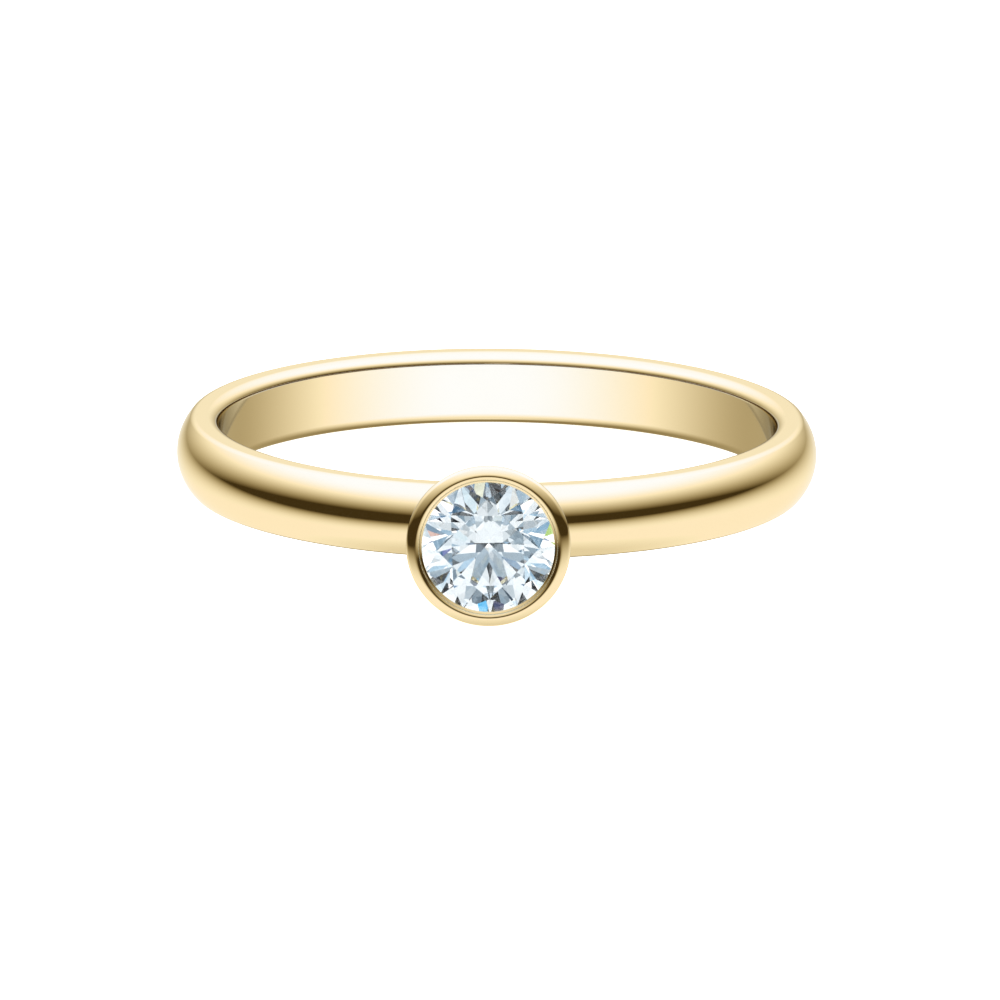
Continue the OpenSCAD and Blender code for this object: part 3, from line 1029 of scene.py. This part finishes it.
def stone_level(pitch):
    """The level that the stone shows, for one colour's direction."""
    elevation, front, right = tent_view(0, pitch)
    degrees = compass(front, right)
    aside = add(tree, "ShaderNodeMath", {0: degrees}, operation="ABSOLUTE")
    past_lens = add(tree, "ShaderNodeMapRange", spread(aside, *CLOTH_ASIDE), **SOFT)
    cloth = add(tree, "ShaderNodeMix", {"Factor": past_lens, "A": LENS_LEVEL, "B": CLOTH_LEVEL})
    past_cloth = add(tree, "ShaderNodeMapRange", spread(aside, *REAR_ASIDE), **SOFT)
    around = add(tree, "ShaderNodeMix", {"Factor": past_cloth, "A": cloth, "B": REAR_LEVEL})
    card = add(tree, "ShaderNodeMapRange", spread(elevation, *CARD_BOTTOM), **SOFT)
    for value, edge in ((elevation, CARD_TOP), (degrees, CARD_RIGHT), (degrees, CARD_LEFT)):
        within = add(tree, "ShaderNodeMapRange", spread(value, *edge), **SOFT)
        card = add(tree, "ShaderNodeMath", {0: card, 1: within}, operation="MULTIPLY")
    carded = add(tree, "ShaderNodeMix", {"Factor": card, "A": around, "B": CARD_LEVEL})
    below = add(tree, "ShaderNodeMapRange", spread(elevation, *SHEET_EDGE), **SOFT)
    under = add(tree, "ShaderNodeMix", {"Factor": below, "A": carded, "B": SHEET_IN_STONE})
    at_side = add(tree, "ShaderNodeMapRange", spread(aside, *SAG_ASIDE), **SOFT)
    sagging = add(tree, "ShaderNodeMath", {0: at_side, 1: SAG, 2: elevation}, operation="MULTIPLY_ADD")
    over = add(tree, "ShaderNodeMapRange", spread(sagging, *ROOF_EDGE), **SOFT)
    return add(tree, "ShaderNodeMix", {"Factor": over, "A": under, "B": ROOF_IN_STONE})


print(f"the stone sees: lens {LENS_LEVEL}, cloth {CLOTH_LEVEL}, card {CARD_LEVEL}, roof {ROOF_IN_STONE}")

# %% [markdown]
# Diamond bends blue light most and red light least, and jewellers call the flashes of
# colour that come of it fire. The renderer bends all colours alike. So the level is
# worked out three times, for red, green and blue, each from a slightly turned direction,
# and six small coloured lamps add the sparks. Dim light is cooler than bright light.
# What the facets mirror on their outside is dimmed, as a polarising filter would do.

# %% Fire in the stone
FIRE_TURN = math.radians(0.8)
CHANNEL_POWER = {"Red": 1.25, "Green": 1.0, "Blue": 0.84}
CHANNEL_GAIN = {"Red": 1.12, "Green": 1.17, "Blue": 1.22}
MIRROR_SHARE = 0.15
SPARK_RADIUS = math.radians(1.6)
SPARKS = [
    dict(elevation=19.8, azimuth=-49.1, colour="#FFFCE0", level=1.1),
    dict(elevation=23.5, azimuth=21.5, colour="#B9DC5A", level=1.1),
    dict(elevation=39.7, azimuth=-2.6, colour="#F2C0B0", level=1.1),
    dict(elevation=37.2, azimuth=11.0, colour="#8C96E6", level=0.7),
    dict(elevation=-3.6, azimuth=-29.6, colour="#5AC8FF", level=1.2),
    dict(elevation=-3.3, azimuth=26.9, colour="#1E0C8C", level=0.4),
]
spark_edge = (math.cos(SPARK_RADIUS), math.cos(0.5 * SPARK_RADIUS))

channels = {}
for turn, (channel, power) in zip((-FIRE_TURN, 0.0, FIRE_TURN), CHANNEL_POWER.items()):
    powered = add(tree, "ShaderNodeMath", {0: stone_level(turn), 1: power}, operation="POWER")
    channels[channel] = add(tree, "ShaderNodeMath", {
        0: powered, 1: CHANNEL_GAIN[channel]}, operation="MULTIPLY")
in_stone = add(tree, "ShaderNodeCombineColor", channels)
for spark in SPARKS:
    up, aside = math.radians(spark["elevation"]), math.radians(spark["azimuth"])
    toward = ring_to_floor.to_3x3() @ Vector(
        (math.sin(aside) * math.cos(up), -math.cos(aside) * math.cos(up), math.sin(up)))
    near = add(tree, "ShaderNodeVectorMath", {
        0: where.outputs["Generated"], 1: tuple(toward)}, operation="DOT_PRODUCT")
    inside = add(tree, "ShaderNodeMapRange", spread(near.outputs["Value"], *spark_edge), **SOFT)
    glow = tuple(spark["level"] * c for c in linear(spark["colour"]))
    in_stone = add(tree, "ShaderNodeMix", {
        "Factor": inside, "A": in_stone, "B": glow}, data_type="RGBA")
share = add(tree, "ShaderNodeMix", {
    "Factor": ray.outputs["Is Transmission Ray"], "A": MIRROR_SHARE, "B": 1.0})
stone_colour = add(tree, "ShaderNodeVectorMath", {0: in_stone, "Scale": share}, operation="SCALE")
print(f"{len(SPARKS)} sparks of {math.degrees(SPARK_RADIUS):.1f} degrees round")

# %% [markdown]
# The world puts the levels together. A camera sees plain white, diffuse surfaces get
# grey light, gold the warm one and the stone the cool one. Gold tints light at each
# reflection, and the later ones turned the ends of the inner wall orange and bright,
# which the photograph does not show. So each reflection after the first keeps about two
# thirds of its light, and one tint is given back. That is a correction for this view and
# not how gold behaves, and it leaves a grey patch beside the cup from other angles.

# %% World
FURTHER_SHARE = 0.66
DIM_GREEN_POWER = 1.13
BRIGHT_GREEN_POWER = 0.47
BLUE_POWER = 1.5
RED_TOP = 1.03
WHITE = (1.0, 1.0, 1.0, 1.0)


def level_colour(level):
    """Warm light dims to amber and bright light goes to white, as a camera records it."""
    dim_green = add(tree, "ShaderNodeMath", {0: level, 1: DIM_GREEN_POWER}, operation="POWER")
    bright_green = add(tree, "ShaderNodeMath", {0: level, 1: BRIGHT_GREEN_POWER}, operation="POWER")
    green = add(tree, "ShaderNodeMath", {0: dim_green, 1: bright_green}, operation="MINIMUM")
    blue = add(tree, "ShaderNodeMath", {0: level, 1: BLUE_POWER}, operation="POWER")
    red = add(tree, "ShaderNodeMath", {0: level, 1: RED_TOP}, operation="MINIMUM")
    return add(tree, "ShaderNodeCombineColor", {"Red": red, "Green": green, "Blue": blue})


grey = add(tree, "ShaderNodeCombineColor", {"Red": level, "Green": level, "Blue": level})
past_first = add(tree, "ShaderNodeMath", {
    0: ray.outputs["Glossy Depth"], 1: 1.0}, operation="SUBTRACT")
further = add(tree, "ShaderNodeMath", {0: past_first, 1: 0.0}, operation="MAXIMUM")
kept_share = add(tree, "ShaderNodeMath", {0: FURTHER_SHARE, 1: further}, operation="POWER")
once_more = add(tree, "ShaderNodeMath", {0: further, 1: 1.0}, operation="MINIMUM")
undo_tint = add(tree, "ShaderNodeMix", {
    "Factor": once_more, "A": WHITE, "B": tuple(1 / c for c in linear(GOLD_COLOUR))}, data_type="RGBA")
untinted = add(tree, "ShaderNodeVectorMath", {
    0: level_colour(level), 1: undo_tint}, operation="MULTIPLY")
warm = add(tree, "ShaderNodeVectorMath", {0: untinted, "Scale": kept_share}, operation="SCALE")
on_metal = add(tree, "ShaderNodeMix", {
    "Factor": ray.outputs["Is Glossy Ray"], "A": grey, "B": warm}, data_type="RGBA")
on_all = add(tree, "ShaderNodeMix", {
    "Factor": ray.outputs["Is Singular Ray"], "A": on_metal, "B": stone_colour}, data_type="RGBA")
seen = add(tree, "ShaderNodeMix", {
    "Factor": ray.outputs["Is Camera Ray"], "A": on_all, "B": WHITE}, data_type="RGBA")
background = add(tree, "ShaderNodeBackground", {"Color": seen, "Strength": 1.0})
add(tree, "ShaderNodeOutputWorld", {"Surface": background})
print(f"each reflection after the first keeps {FURTHER_SHARE:.0%}, {len(tree.nodes)} nodes in all")
